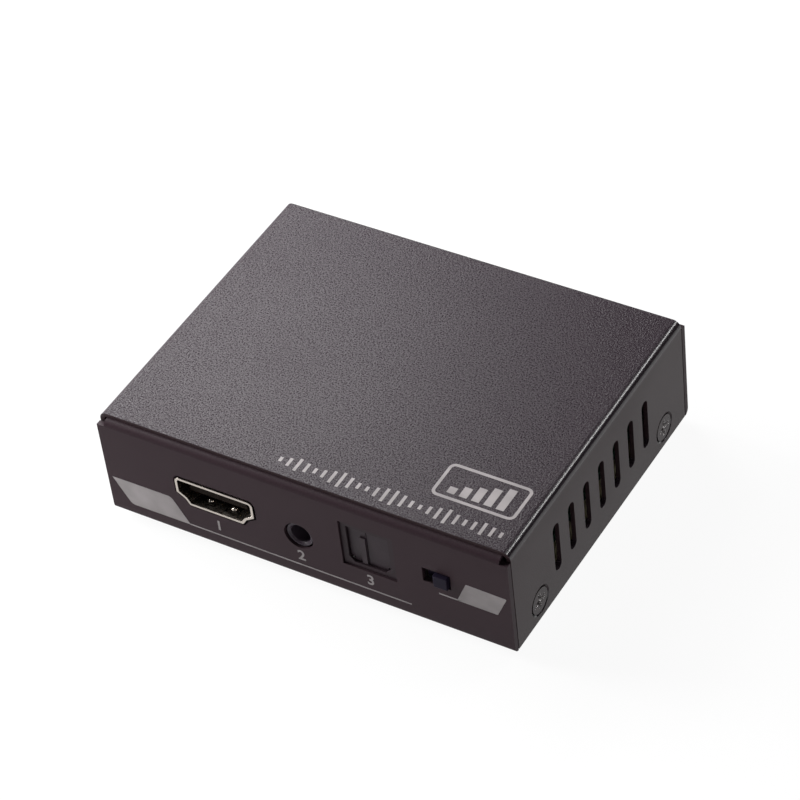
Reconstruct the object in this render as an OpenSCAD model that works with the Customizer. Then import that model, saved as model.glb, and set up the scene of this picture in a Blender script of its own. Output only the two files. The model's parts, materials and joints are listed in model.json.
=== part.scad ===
// Small folded-metal box that splits the sound off a digital video signal.
// Millimetres. X runs to the right along the front, Y to the back and Z up.
// The origin is on the table, under the middle of the case.

/* [Case] */
// Width of the case, across the front and rear panels
body_w = 76.5; // [74:0.5:90]
// Depth of the case, over the front and rear panels
body_d = 60.7; // [59:0.1:75]
// Height of the case, from the tray's underside to the top of the cover
body_h = 21.4; // [20.8:0.1:26]
// Sheet thickness of the tray
tray_t = 1.0; // [0.8:0.1:1.1]
// Outer radius of the tray's bends
tray_bend_r = 1.2; // [1.15:0.05:1.6]
// Depth of the flanges at the top of the panels, which carry the cover
flange_l = 7; // [4:0.5:9]
// Height of the panels' corner ears under the top of the case
ear_drop = 1.8; // [1.5:0.1:3]
// Sheet thickness of the cover
cover_t = 0.8; // [0.6:0.1:0.9]
// Outer radius of the cover's bends
cover_bend_r = 1.45; // [1.2:0.05:1.9]
// Distance of the cover's edges behind the faces of the panels
cover_setback = 1.2; // [1.15:0.05:1.6]

/* [Vents] */
// Number of vent slots in each side
vent_count = 7; // [1:1:7]
// Width of a vent slot
vent_w = 2.0; // [1:0.1:3]
// Length of a vent slot, over its round ends
vent_l = 10.0; // [5:0.5:11]
// Distance between neighbouring vent slots
vent_pitch = 5.1; // [4.5:0.1:5.3]
// Height of the middle of the vents above the tray's underside
vent_z = 10.15; // [9.5:0.05:12]

/* [Case screws] */
// Thread radius of the countersunk case screws
screw_r = 1.5; // [1:0.05:1.5]
// Head radius of the case screws
screw_head_r = 2.75; // [2.3:0.05:2.8]
// Length of the case screws, over the head
screw_l = 5.0; // [4:0.5:5]
// Distance between the front and the rear case screw
screw_span = 43.4; // [42:0.1:46]
// Height of the case screws above the tray's underside
screw_z = 3.9; // [3.85:0.05:4.1]
// Width of the side tabs that the case screws pull on
tab_w = 9; // [7:0.5:12]
// Height of the side tabs
tab_h = 8; // [7.2:0.1:9]
// Radius of the tapped collar on a tab
collar_r = 2.3; // [2:0.1:2.6]
// Length of the tapped collar
collar_l = 1.2; // [0.6:0.1:1.3]

/* [Feet] */
// Radius of a rubber foot
foot_r = 4.0; // [2.5:0.1:5]
// Height of a rubber foot
foot_h = 1.5; // [1:0.1:3]
// Bevel on the lower edge of a foot
foot_bevel = 0.3; // [0.1:0.1:0.5]
// Distance of a foot's middle from the side of the case
foot_inset_x = 8.2; // [7:0.1:12]
// Distance of a foot's middle from the front or rear of the case
foot_inset_y = 8.3; // [7:0.1:12]

/* [Circuit board] */
// Thickness of the circuit board
board_t = 1.6; // [1.2:0.1:1.6]
// Height of the standoffs under the board
standoff_h = 4.6; // [4.5:0.1:5]
// Radius of a standoff
standoff_r = 2.4; // [2:0.1:2.6]
// Thread radius of the board screws
board_screw_r = 1.25; // [1:0.05:1.4]
// Head radius of the board screws
board_screw_head_r = 2.2; // [1.9:0.05:2.2]
// Head height of the board screws
board_screw_head_h = 1.6; // [1:0.1:2]
// Length of the board screws under the head
board_screw_l = 5.4; // [4:0.1:6]
// Distance of a board screw from the side edge of the board
board_hole_inset = 4.0; // [3.8:0.1:4.2]
// Distance between the front and the rear board screw
board_hole_span = 32; // [31:0.5:34]
// Thickness of the insulating sheet under the board
sheet_t = 0.2; // [0.1:0.05:0.4]

/* [Video ports] */
// Place of the video output along the front, from the middle
video_out_x = -16.55; // [-19:0.05:-14]
// Place of the video input along the rear, from the middle
video_in_x = 14; // [12:0.1:15]
// Outer width of a video port's shell
port_w = 15.0; // [14.5:0.1:15.2]
// Outer height of the shell
port_h = 5.5; // [5.2:0.1:6.5]
// Width of the shell's underside, between its sloped corners
port_bottom_w = 10.3; // [9.5:0.1:11]
// Height of the shell's sloped corners
port_slope_h = 2.2; // [1.8:0.1:2.6]
// Reach of the kink in a sloped corner, past the edge of the underside
port_kink_w = 0.8; // [0.6:0.1:1.1]
// Height of the kink in a sloped corner
port_kink_h = 1.2; // [1:0.1:1.4]
// Outer radius of the shell's upper corners
port_corner_r = 0.9; // [0.7:0.1:1.2]
// Sheet thickness of the shell
port_wall = 0.45; // [0.3:0.05:0.5]
// Length of the shell
port_l = 11.5; // [10:0.1:12]
// Height of the shell's underside above the board
port_lift = 0.75; // [0.5:0.05:0.95]
// Reach of the shell in front of the panel's face
port_proud = 0.15; // [0:0.05:0.5]
// Width of the tongue inside the port
tongue_w = 11.1; // [10.7:0.1:11.3]
// Thickness of the tongue
tongue_t = 1.3; // [1:0.1:1.4]

/* [Audio jack] */
// Place of the audio jack along the front, from the middle
jack_x = -0.7; // [-2:0.1:1]
// Height of the jack's axis above the board
jack_axis_z = 2.45; // [2.4:0.05:3]
// Radius of the jack's bore, for a 3.5 mm plug
jack_bore_r = 1.8; // [1.7:0.01:1.85]
// Outer radius of the jack's round nose
jack_nose_r = 2.4; // [2.2:0.05:2.4]
// Width of the jack's body
jack_w = 6.4; // [6:0.1:7]
// Depth of the jack's body and nose
jack_l = 15.0; // [14.6:0.1:16]
// Depth of the nose's face behind the panel's face
jack_sink = 0.4; // [0.2:0.05:0.6]

/* [Optical port] */
// Place of the optical port along the front, from the middle
optical_x = 12.4; // [11:0.1:14]
// Width of the optical housing
optical_w = 9.7; // [9.5:0.1:10.5]
// Height of the optical housing
optical_h = 9.3; // [9.2:0.1:10.5]
// Depth of the optical housing
optical_l = 13.2; // [12.8:0.1:15]
// Depth of the housing's face behind the panel's face
optical_sink = 0.35; // [0.2:0.05:0.6]
// Width of the plug opening
optical_hole_w = 7.7; // [7.4:0.1:7.8]
// Height of the plug opening
optical_hole_h = 7.7; // [7.4:0.1:7.8]
// Bevel on the lower corners of the plug opening, which key the plug
optical_key = 1.0; // [0.6:0.1:1.2]
// Thickness of a shutter door
door_t = 0.7; // [0.5:0.05:0.8]
// Place of the seam between the doors, from the middle of the opening
door_seam_x = -0.45; // [-0.5:0.05:0.5]
// Largest opening angle of a door
door_swing = 85; // [60:1:85]

/* [Slide switches] */
// Place of the source switch along the front, from the middle
source_switch_x = 24.95; // [24:0.05:25.5]
// Place of the mode switch along the rear, from the middle
mode_switch_x = -7; // [-8:0.1:-6]
// Height of the switches' axis above the board
switch_axis_z = 4.07; // [4:0.05:4.5]
// Width of a switch's knob
knob_w = 2.5; // [2:0.1:2.8]
// Height of a switch's knob
knob_h = 2.5; // [2:0.1:2.8]
// Reach of the knob in front of the panel's face
knob_proud = 0.7; // [0.2:0.1:1.5]
// Travel of the source switch, between its two places
source_travel = 2.0; // [1.5:0.1:2.2]
// Travel of the mode switch, between the first and last of its three places
mode_travel = 3.0; // [2.6:0.1:3.2]

/* [Power jack] */
// Place of the power jack along the rear, from the middle
power_x = -21; // [-22:0.1:-20.5]
// Width of the power jack's body
power_w = 9.0; // [8.6:0.1:9.4]
// Height of the power jack's body
power_h = 11.0; // [10.6:0.1:11.4]
// Depth of the power jack's body and nose
power_l = 14.0; // [13:0.1:14.5]
// Height of the jack's axis above the board
power_axis_z = 6.5; // [6.2:0.1:6.6]
// Radius of the jack's round nose
power_nose_r = 3.9; // [3.7:0.05:4.1]
// Radius of the jack's barrel opening
power_bore_r = 3.15; // [2.9:0.05:3.2]
// Radius of the jack's centre pin
power_pin_r = 1.0; // [0.8:0.05:1.25]
// Depth of the barrel opening
power_bore_l = 9.5; // [8.5:0.1:10]

/* [Indicator lamp] */
// Place of the lamp along the rear, from the middle
lamp_x = 27; // [26.5:0.1:28]
// Radius of the lamp
lamp_r = 1.5; // [1:0.1:1.5]
// Height of the lamp's axis above the board
lamp_axis_z = 4.5; // [4:0.1:5]

/* [Board parts] */
// Width of the main chip and its pad
chip_w = 12; // [8:0.5:14]
// Thickness of the main chip
chip_t = 1.2; // [0.8:0.1:1.6]
// Width of the heat sink
sink_w = 14; // [10:0.5:16]
// Height of the heat sink
sink_h = 6; // [3:0.5:7]
// Number of fins on the heat sink
fin_count = 6; // [3:1:8]
// Radius of a bulk capacitor's can
can_r = 2.5; // [2:0.1:2.8]
// Height of a bulk capacitor
can_h = 5.4; // [4:0.1:8]

/* [Hidden] */
$fn = 48;

// Width and depth of the case that the places of its parts are given for: they keep their share of it
places_w = 76.5;
places_d = 60.7;
// Overrun of every cut past the face that it goes through
over = 1;
// Gap between the cover's sides and the edges of the tray
side_gap = 0.1;
// Gap under the lower edges of the cover's sides
cover_foot_gap = 0.1;
// Radial clearance of a screw's thread in its tapped hole, and of a head in its seat
thread_clear = 0.05;
// Radial clearance of a board screw in the board, and of the sheet round a standoff
hole_clear = 0.2;
// Gap between the board and the side tabs
board_side_gap = 1.35;
// Gap between the board and the panels
board_end_gap = 0.6;
// Clearance round a lead or leg in the board
pin_clear = 0.15;
// Reach of leads and legs under the board
pin_out = 0.6;
// Gap between a part behind a panel and the panel
panel_gap = 0.15;

// Places worked out from the sizes above
base_half = body_w / 2 - cover_t - side_gap;
flange_half = body_w / 2 - cover_bend_r;
panel_h = body_h - cover_t;
board_w = 2 * (base_half - tray_t - board_side_gap);
board_d = body_d - 2 * (tray_t + board_end_gap);
board_bottom = foot_h + tray_t + standoff_h;
board_top = board_bottom + board_t;
tail_l = board_t + pin_out;
behind_panel = tray_t + panel_gap;

// A block that is centred in plan and stands on its place
module block(w, d, h) {
    translate([-w / 2, -d / 2, 0]) cube([w, d, h]);
}

// A flat shape in X and Z, drawn out along Y by a length
module run(length) {
    translate([0, length, 0]) rotate([90, 0, 0]) linear_extrude(length) children();
}

// A round bar along Y, from its place towards the back
module rod(length, radius) {
    rotate([-90, 0, 0]) cylinder(h = length, r = radius);
}

// Places a part of the front row: Y = 0 is the panel's face, Z = 0 the top of the board
module at_front(x) {
    translate([x * body_w / places_w, -body_d / 2, board_top]) children();
}

// Places a part of the rear row, turned to face the back
module at_rear(x) {
    translate([x * body_w / places_w, body_d / 2, board_top]) rotate(180) children();
}

// Places a part on the board by its plan position
module on_board(x, y) {
    translate([x * body_w / places_w, y * body_d / places_d, board_top]) children();
}

// A quarter ring: the section of a bend in a sheet
module bend(t, r) {
    intersection() {
        difference() {
            circle(r);
            circle(r - t);
        }
        square(r);
    }
}

// Tray

// Section of the tray from front to back: base, bends, panels and top flanges
module tray_section() {
    r = tray_bend_r;
    for (end = [0, 1]) mirror([end, 0]) {
        translate([r - body_d / 2, r]) rotate(180) bend(tray_t, r);
        translate([-body_d / 2, r]) square([tray_t, panel_h - 2 * r]);
        translate([r - body_d / 2, panel_h - r]) rotate(90) bend(tray_t, r);
        translate([r - body_d / 2, panel_h - tray_t]) square([flange_l - r, tray_t]);
    }
    translate([r - body_d / 2, 0]) square([body_d - 2 * r, tray_t]);
}

// The four places of the side tabs and the case screws, with Z pointing out of the case
module at_case_screws() {
    for (side = [-1, 1], end = [-1, 1])
        translate([side * body_w / 2, end * screw_span / 2, foot_h + screw_z])
            rotate([0, side * 90, 0]) children();
}

// Section of a side tab, from the edge of the base upwards
module tab_section() {
    r = tray_bend_r;
    translate([base_half - r, r]) rotate(-90) bend(tray_t, r);
    translate([base_half - tray_t, r]) square([tray_t, tab_h - r]);
}

module side_tabs() {
    for (side = [0, 1], end = [-1, 1]) mirror([side, 0, 0])
        translate([0, end * screw_span / 2 - tab_w / 2, foot_h]) run(tab_w) tab_section();
}

// Depth of the countersunk head, whose flanks stand at 45 degrees
head_h = screw_head_r - screw_r;
// Depth of the head's face under the face of the cover
head_sink = 0.05;

// Space of a countersunk head and its thread, with a clearance
module case_screw_space(clear) {
    translate([0, 0, -head_sink]) cylinder(h = over, r = screw_head_r + clear);
    translate([0, 0, -head_sink - head_h])
        cylinder(h = head_h, r1 = screw_r + clear, r2 = screw_head_r + clear);
}

module panel_cutouts() {
    at_front(video_out_x) port_cutout();
    at_front(jack_x) jack_cutout();
    at_front(optical_x) optical_cutout();
    at_front(source_switch_x) switch_cutout(source_travel);
    at_rear(video_in_x) port_cutout();
    at_rear(power_x) power_cutout();
    at_rear(mode_switch_x) switch_cutout(mode_travel);
    at_rear(lamp_x) lamp_cutout();
}

module tray() {
    color([0.16, 0.15, 0.16]) difference() {
        union() {
            difference() {
                translate([0, 0, foot_h]) rotate([90, 0, 90])
                    linear_extrude(body_w, center = true) tray_section();
                for (side = [0, 1]) mirror([side, 0, 0]) {
                    // Room for the cover's side, between the panels
                    translate([base_half, tray_t - body_d / 2, foot_h - over])
                        cube([body_w, body_d - 2 * tray_t, body_h + over]);
                    // Corner notch beside the flange, which leaves the ear
                    translate([flange_half, -body_d, foot_h + body_h - ear_drop])
                        cube([body_w, 2 * body_d, body_h]);
                    // The base's edge makes way for the bends of the tabs
                    for (end = [-1, 1])
                        translate([base_half - tray_bend_r, end * screw_span / 2 - tab_w / 2,
                                   foot_h - over])
                            cube([body_w, tab_w, tray_t + 2 * over]);
                }
            }
            side_tabs();
            at_case_screws() translate([0, 0, -cover_t - side_gap - tray_t - collar_l])
                cylinder(h = collar_l + tray_t, r = collar_r);
        }
        at_case_screws() {
            translate([0, 0, -body_w / 4]) cylinder(h = body_w / 4, r = screw_r);
            case_screw_space(thread_clear);
        }
        panel_cutouts();
    }
}

// Cover

// Section of the cover across the case: top, bends and sides
module cover_section() {
    r = cover_bend_r;
    for (side = [0, 1]) mirror([side, 0]) {
        translate([body_w / 2 - r, body_h - r]) bend(cover_t, r);
        translate([body_w / 2 - cover_t, cover_foot_gap])
            square([cover_t, body_h - r - cover_foot_gap]);
    }
    translate([r - body_w / 2, body_h - cover_t]) square([body_w - 2 * r, cover_t]);
}

// Outline of a vent slot
module vent_slot() {
    square([vent_w, vent_l - vent_w], center = true);
    for (end = [-1, 1]) translate([0, end * (vent_l - vent_w) / 2]) circle(vent_w / 2);
}

module cover() {
    cover_l = body_d - 2 * cover_setback;
    color([0.2, 0.19, 0.2]) difference() {
        translate([0, -cover_l / 2, foot_h]) run(cover_l) cover_section();
        translate([0, 0, foot_h + vent_z]) rotate([90, 0, 90])
            linear_extrude(body_w + 2 * over, center = true)
                for (i = [0 : vent_count - 1])
                    translate([(i - (vent_count - 1) / 2) * vent_pitch, 0]) vent_slot();
        at_case_screws() {
            case_screw_space(thread_clear);
            translate([0, 0, -body_w / 4]) cylinder(h = body_w / 4, r = screw_r + thread_clear);
        }
    }
}

// Width, reach and depth of the cross recess in a case screw
cross_w = 0.75;
cross_l = 3.1;
cross_depth = 1.3;
// Bevel at the end of a screw
screw_tip = 0.3;

// A cross recess that is sunk from its place, with a hollow at its middle
module cross_recess(w, l, depth) {
    for (turn = [0, 90]) rotate(turn) translate([0, 0, -depth]) block(l, w, depth + over);
    translate([0, 0, -depth]) cylinder(h = depth, r1 = w / 2, r2 = w);
}

// A screw's thread, from its place down
module thread(length, radius) {
    translate([0, 0, screw_tip - length]) cylinder(h = length - screw_tip, r = radius);
    translate([0, 0, -length]) cylinder(h = screw_tip, r1 = radius - screw_tip, r2 = radius);
}

module cover_screws() {
    color([0.22, 0.21, 0.22]) at_case_screws() translate([0, 0, -head_sink]) difference() {
        union() {
            translate([0, 0, -head_h]) cylinder(h = head_h, r1 = screw_r, r2 = screw_head_r);
            translate([0, 0, -head_h])
                thread(screw_l - head_h, screw_r - thread_clear);
        }
        cross_recess(cross_w, cross_l, cross_depth);
    }
}

// Feet, standoffs and board

module rubber_feet() {
    color([0.1, 0.1, 0.1])
        for (side = [-1, 1], end = [-1, 1])
            translate([side * (body_w / 2 - foot_inset_x), end * (body_d / 2 - foot_inset_y), 0]) {
                cylinder(h = foot_bevel, r1 = foot_r - foot_bevel, r2 = foot_r);
                translate([0, 0, foot_bevel]) cylinder(h = foot_h - foot_bevel, r = foot_r);
            }
}

// The four places where the board is screwed down
module at_board_screws() {
    for (side = [-1, 1], end = [-1, 1])
        translate([side * (board_w / 2 - board_hole_inset), end * board_hole_span / 2, 0]) children();
}

module standoffs() {
    color("silver") at_board_screws() translate([0, 0, foot_h + tray_t]) difference() {
        cylinder(h = standoff_h, r = standoff_r);
        translate([0, 0, -over]) cylinder(h = standoff_h + 2 * over, r = board_screw_r);
    }
}

module insulating_sheet() {
    color([0.9, 0.85, 0.7]) difference() {
        translate([0, 0, foot_h + tray_t]) block(board_w, board_d, sheet_t);
        at_board_screws() cylinder(h = board_bottom, r = standoff_r + hole_clear);
    }
}

module circuit_board() {
    color([0.05, 0.25, 0.14]) difference() {
        translate([0, 0, board_bottom]) block(board_w, board_d, board_t);
        at_board_screws() cylinder(h = board_top + over, r = board_screw_r + hole_clear);
        at_front(video_out_x) port_board_holes();
        at_rear(video_in_x) port_board_holes();
        at_front(jack_x) jack_board_holes();
        at_front(optical_x) optical_board_holes();
        at_front(source_switch_x) switch_board_holes(source_travel, source_places);
        at_rear(mode_switch_x) switch_board_holes(mode_travel, mode_places);
        at_rear(power_x) power_board_holes();
        at_rear(lamp_x) lamp_board_holes();
    }
}

// Width, reach and depth of the cross recess in a board screw
board_cross_w = 0.6;
board_cross_l = 2.4;
board_cross_depth = 0.9;

module board_screws() {
    color("silver") at_board_screws() translate([0, 0, board_top]) difference() {
        union() {
            cylinder(h = board_screw_head_h, r = board_screw_head_r);
            thread(board_screw_l, board_screw_r - thread_clear);
        }
        translate([0, 0, board_screw_head_h])
            cross_recess(board_cross_w, board_cross_l, board_cross_depth);
    }
}

// A hole through the board for a flat lead or leg, round its place
module board_hole(w, d) {
    translate([0, 0, -board_t - over])
        block(w + 2 * pin_clear, d + 2 * pin_clear, board_t + 2 * over);
}

// Video ports

// Clearance of the shell in the panel
port_clear = 0.35;
// Clearance between the shell and the insulator, and round a contact in it
port_fit = 0.03;
// Legs of the shell: width, and distances of the two pairs behind the panel's face
port_leg_w = 1.2;
port_legs = [3.2, 9.2];
// Height to which a leg overlaps the shell's upright side
port_leg_seat = 1.0;
// Spring fingers of the shell: spacing, width, length, front end and slit
finger_pitch = 4.6;
finger_w = 2.0;
finger_l = 4.4;
finger_y = 0.8;
finger_slit = 0.25;
// Round bump of a finger: radius, height over the sheet and distance behind the free end
bump_r = 0.6;
bump_h = 0.4;
bump_back = 0.9;
// Depth of the insulator's block, the tongue's front end and its height over the shell's floor
port_block_l = 3.0;
tongue_y = 1.1;
tongue_z = 1.85;
// Contacts: number in the upper row, spacing, width, thickness, set-back, foot length
contact_count = 10;
contact_pitch = 1.0;
contact_w = 0.3;
contact_t = 0.15;
contact_back = 0.6;
contact_foot = 0.8;
// Distance between the insulator's back and the falling part of the contacts
contact_drop = 0.25;

// Corners of the shell's right half, from the middle of the underside to the shoulder
function port_corners() = [
    [0, 0],
    [port_bottom_w / 2, 0],
    [port_bottom_w / 2 + port_kink_w, port_kink_h],
    [port_w / 2, port_slope_h],
    [port_w / 2, port_h - port_corner_r]
];

// Corner b of the line a, b, c, moved to the left by an inset from both of its edges
function inset_corner(a, b, c, inset) =
    let (u = (b - a) / norm(b - a), v = (c - b) / norm(c - b))
        b + inset * [-u[1] - v[1], u[0] + v[0]] / (1 + u * v);

// Outline of the shell, made smaller all round by an inset
module port_outline(inset) {
    shoulder = port_h - port_corner_r;
    corners = port_corners();
    right = concat(
        [for (i = [1 : 3]) inset_corner(corners[i - 1], corners[i], corners[i + 1], inset)],
        [[port_w / 2 - inset, shoulder]]
    );
    left = [for (i = [len(right) - 1 : -1 : 0]) [-right[i][0], right[i][1]]];
    polygon(concat(right, left));
    for (side = [-1, 1])
        translate([side * (port_w / 2 - port_corner_r), shoulder]) circle(port_corner_r - inset);
    translate([port_corner_r - port_w / 2, shoulder])
        square([port_w - 2 * port_corner_r, port_corner_r - inset]);
}

module port_cutout() {
    translate([0, -over, port_lift]) run(tray_t + 2 * over) port_outline(-port_clear);
}

// The places of the four legs, on the outside of the shell's sides
module at_port_legs() {
    for (side = [-1, 1], y = port_legs)
        translate([side * (port_w - port_wall) / 2, y, 0]) children();
}

module port_board_holes() {
    at_port_legs() board_hole(port_wall, port_leg_w);
}

// Slits that free one spring finger, in the floor or roof at a height
module finger_slits(z) {
    for (x = [-finger_pitch, finger_pitch] / 2) translate([x, finger_y, z]) {
        for (side = [-1, 1]) translate([side * (finger_w + finger_slit) / 2, finger_l / 2, 0])
            block(finger_slit, finger_l, 2 * port_wall);
        translate([0, finger_slit / 2, 0]) block(finger_w + 2 * finger_slit, finger_slit, 2 * port_wall);
    }
}

// The rounded bump of a finger, over the sheet's face at its place
module finger_bump() {
    intersection() {
        translate([0, 0, bump_h - bump_r]) sphere(bump_r);
        translate([0, 0, -port_wall / 2]) block(finger_w, finger_w, bump_r + port_wall);
    }
}

module at_fingers() {
    for (x = [-finger_pitch, finger_pitch] / 2)
        translate([x, finger_y + finger_slit + bump_back, 0]) children();
}

module port_shell() {
    translate([0, 0, port_lift]) difference() {
        translate([0, -port_proud, 0]) run(port_l) difference() {
            port_outline(0);
            port_outline(port_wall);
        }
        finger_slits(-port_wall / 2);
        finger_slits(port_h - 1.5 * port_wall);
    }
    at_fingers() {
        translate([0, 0, port_lift + port_wall]) finger_bump();
        translate([0, 0, port_lift + port_h - port_wall]) mirror([0, 0, 1]) finger_bump();
    }
    at_port_legs() translate([0, 0, -tail_l])
        block(port_wall, port_leg_w, tail_l + port_lift + port_slope_h + port_leg_seat);
}

// Height of the tongue's underside above the board, and the back of the port
function tongue_bottom() = port_lift + port_wall + tongue_z;
function port_back() = port_l - port_proud;

// The places of one row of contacts
module contact_row(count) {
    for (i = [0 : count - 1]) translate([(i - (count - 1) / 2) * contact_pitch, 0, 0]) children();
}

// A contact's bar along the tongue, grown by a clearance
module contact_bar(grow) {
    length = port_back() + contact_drop + contact_t - tongue_y - contact_back;
    translate([0, tongue_y + contact_back + length / 2, -grow])
        block(contact_w + 2 * grow, length, contact_t + 2 * grow);
}

module port_insulator() {
    back = port_back();
    difference() {
        union() {
            translate([0, back - port_block_l, port_lift]) run(port_block_l)
                port_outline(port_wall + port_fit);
            translate([0, (tongue_y + back) / 2, tongue_bottom()])
                block(tongue_w, back - tongue_y, tongue_t);
        }
        // Channels behind the tongue, which the contacts run through
        intersection() {
            union() {
                translate([0, 0, tongue_bottom() + tongue_t])
                    contact_row(contact_count) contact_bar(port_fit);
                translate([0, 0, tongue_bottom() - contact_t])
                    contact_row(contact_count - 1) contact_bar(port_fit);
            }
            translate([0, back, 0]) block(port_w, 2 * port_block_l + over, port_h * 2);
        }
    }
}

// One contact, with its bar at a height, its fall behind the port and its foot on the board
module contact(z) {
    translate([0, 0, z]) contact_bar(0);
    translate([0, port_back() + contact_drop + contact_t / 2, 0])
        block(contact_w, contact_t, z + contact_t);
    translate([0, port_back() + contact_drop + contact_foot / 2, 0])
        block(contact_w, contact_foot, contact_t);
}

module port_contacts() {
    contact_row(contact_count) contact(tongue_bottom() + tongue_t);
    contact_row(contact_count - 1) contact(tongue_bottom() - contact_t);
}

module video_out_shell() { color("lightgray") at_front(video_out_x) port_shell(); }
module video_out_insulator() { color([0.08, 0.08, 0.08]) at_front(video_out_x) port_insulator(); }
module video_out_contacts() { color("gold") at_front(video_out_x) port_contacts(); }
module video_in_shell() { color("lightgray") at_rear(video_in_x) port_shell(); }
module video_in_insulator() { color([0.08, 0.08, 0.08]) at_rear(video_in_x) port_insulator(); }
module video_in_contacts() { color("gold") at_rear(video_in_x) port_contacts(); }

// Audio jack

// Clearance of the nose in the panel
jack_clear = 0.3;
// Bevel round the mouth of the bore
jack_bevel = 0.3;
// Wall behind the bore, and the distance from the panel's face to the spring pockets
jack_back_t = 1.2;
jack_pocket_y = 4.2;
// Spring plates: thickness, height and length, and their gap outside the bore
jack_spring_t = 0.2;
jack_spring_h = 2.0;
jack_spring_l = 5.0;
jack_spring_gap = 0.1;
// Width of a plate's tail, and clearance round a plate in its pocket
jack_tail_w = 1.0;
jack_fit = 0.1;

module jack_cutout() {
    translate([0, -over, jack_axis_z]) rod(tray_t + 2 * over, jack_nose_r + jack_clear);
}

// Places of the two spring plates, by the middle of their thickness
module at_jack_springs() {
    for (side = [-1, 1])
        translate([side * (jack_bore_r + jack_spring_gap + jack_spring_t / 2),
                   jack_pocket_y + jack_fit + jack_spring_l / 2, 0]) children();
}

module jack_board_holes() {
    at_jack_springs() board_hole(jack_spring_t, jack_tail_w);
}

module audio_jack_body() {
    color([0.09, 0.09, 0.1]) at_front(jack_x) difference() {
        union() {
            translate([0, jack_sink, jack_axis_z]) rod(jack_l / 2, jack_nose_r);
            translate([0, (behind_panel + jack_l) / 2, 0])
                block(jack_w, jack_l - behind_panel, 2 * jack_axis_z);
        }
        translate([0, 0, jack_axis_z]) rod(jack_l - jack_back_t, jack_bore_r);
        translate([0, jack_sink, jack_axis_z]) rotate([-90, 0, 0])
            cylinder(h = jack_bevel, r1 = jack_bore_r + jack_bevel, r2 = jack_bore_r);
        // Pockets of the spring plates, open to the bore and to the board
        at_jack_springs() {
            pocket_t = jack_spring_t + 2 * jack_fit;
            translate([0, 0, jack_axis_z - jack_spring_h / 2 - jack_fit])
                block(pocket_t + jack_spring_gap, jack_spring_l + 2 * jack_fit,
                      jack_spring_h + 2 * jack_fit);
            translate([0, 0, -over]) block(pocket_t, jack_tail_w + 2 * jack_fit, jack_axis_z + over);
        }
    }
}

module audio_jack_contacts() {
    color("silver") at_front(jack_x) at_jack_springs() {
        translate([0, 0, jack_axis_z - jack_spring_h / 2])
            block(jack_spring_t, jack_spring_l, jack_spring_h);
        translate([0, 0, -tail_l]) block(jack_spring_t, jack_tail_w, tail_l + jack_axis_z);
    }
}

// Optical port

// Clearance of the housing in the panel
optical_clear = 0.15;
// Thickness of the keyed lip in front of the doors, and its height over the housing's floor
lip_t = 0.4;
lip_z = 0.75;
// Cavity behind the lip: side wall and floor thickness, and its depth behind the face
optical_wall = 0.7;
optical_floor = 0.5;
cavity_l = 9.6;
// Inner and outer radius and length of the barrel that guides the plug's ferrule
barrel_bore_r = 1.3;
barrel_r = 2.0;
barrel_l = 3.0;
// Wall between the cavity and the emitter's pocket
optical_mid_t = 0.8;
// Doors: clearance behind the lip, at the seam, at the floor and at the side walls
door_gap = 0.1;
seam_gap = 0.1;
door_end_gap = 0.12;
door_side_gap = 0.15;
// Hinge pin of a door: radius, reach into the housing and clearance there
hinge_r = 0.22;
hinge_l = 0.3;
hinge_clear = 0.05;
// Raised bar on the left door, beside the seam: width, reach, drop under the door's top and set-back
bar_w = 0.95;
bar_t = 0.3;
bar_drop = 1.9;
bar_back = 0.08;
// Door springs: mean coil radius, wire radius, turns, rise in a turn, wire sides and rings a turn
coil_r = 0.34;
coil_wire_r = 0.06;
coil_turns = 3;
coil_pitch = 0.24;
coil_sides = 6;
coil_rings = 12;
// Notch at the foot of a door for its spring: height and reach from the hinge axis
coil_notch_h = 0.9;
coil_notch_w = 0.48;
// Emitter: width, height, thickness, lens radius and lens length
emitter_w = 5.6;
emitter_h = 5.6;
emitter_t = 1.8;
emitter_lens_r = 1.0;
emitter_lens_l = 0.6;
// Leads: number, spacing, width and thickness
lead_count = 3;
lead_pitch = 1.8;
lead_w = 0.45;
lead_t = 0.3;
// Locating pegs: radius, length and distance behind the panel's face
peg_r = 0.8;
peg_l = 1.3;
peg_y = 6;
peg_x = 3.2;
// Clearance of the rear cap
cap_clear = 0.05;

// Height of the middle of the plug opening over the board
optical_axis_z = lip_z + optical_hole_h / 2;
// Inner half width and height of the cavity
cavity_half = optical_w / 2 - optical_wall;
cavity_h = optical_h - 2 * optical_floor;
// Distance of the hinge axes from the panel's face and from the port's middle
hinge_y = optical_sink + lip_t + door_gap + door_t / 2;
hinge_x = cavity_half - door_side_gap - door_t / 2;
// Front of the emitter's pocket
pocket_y = optical_sink + cavity_l + optical_mid_t;

module optical_cutout() {
    translate([0, 0, -optical_clear])
        block(optical_w + 2 * optical_clear, 2 * (tray_t + over), optical_h + 2 * optical_clear);
}

// The plug opening, with its two beveled lower corners
module keyed_opening() {
    half = optical_hole_w / 2;
    polygon([
        [optical_key - half, 0], [half - optical_key, 0], [half, optical_key],
        [half, optical_hole_h], [-half, optical_hole_h], [-half, optical_key]
    ]);
}

module at_hinges() {
    for (side = [-1, 1]) translate([side * hinge_x, hinge_y, 0]) children();
}

module at_pegs() {
    for (side = [-1, 1]) translate([side * peg_x, peg_y, 0]) children();
}

// The leads' places, by the middle of their thickness
module at_emitter_leads() {
    for (i = [0 : lead_count - 1])
        translate([(i - (lead_count - 1) / 2) * lead_pitch, pocket_y + emitter_t / 2, 0]) children();
}

module optical_board_holes() {
    at_pegs() translate([0, 0, -board_t - over])
        cylinder(h = board_t + 2 * over, r = peg_r + pin_clear);
    at_emitter_leads() board_hole(lead_w, lead_t);
}

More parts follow.
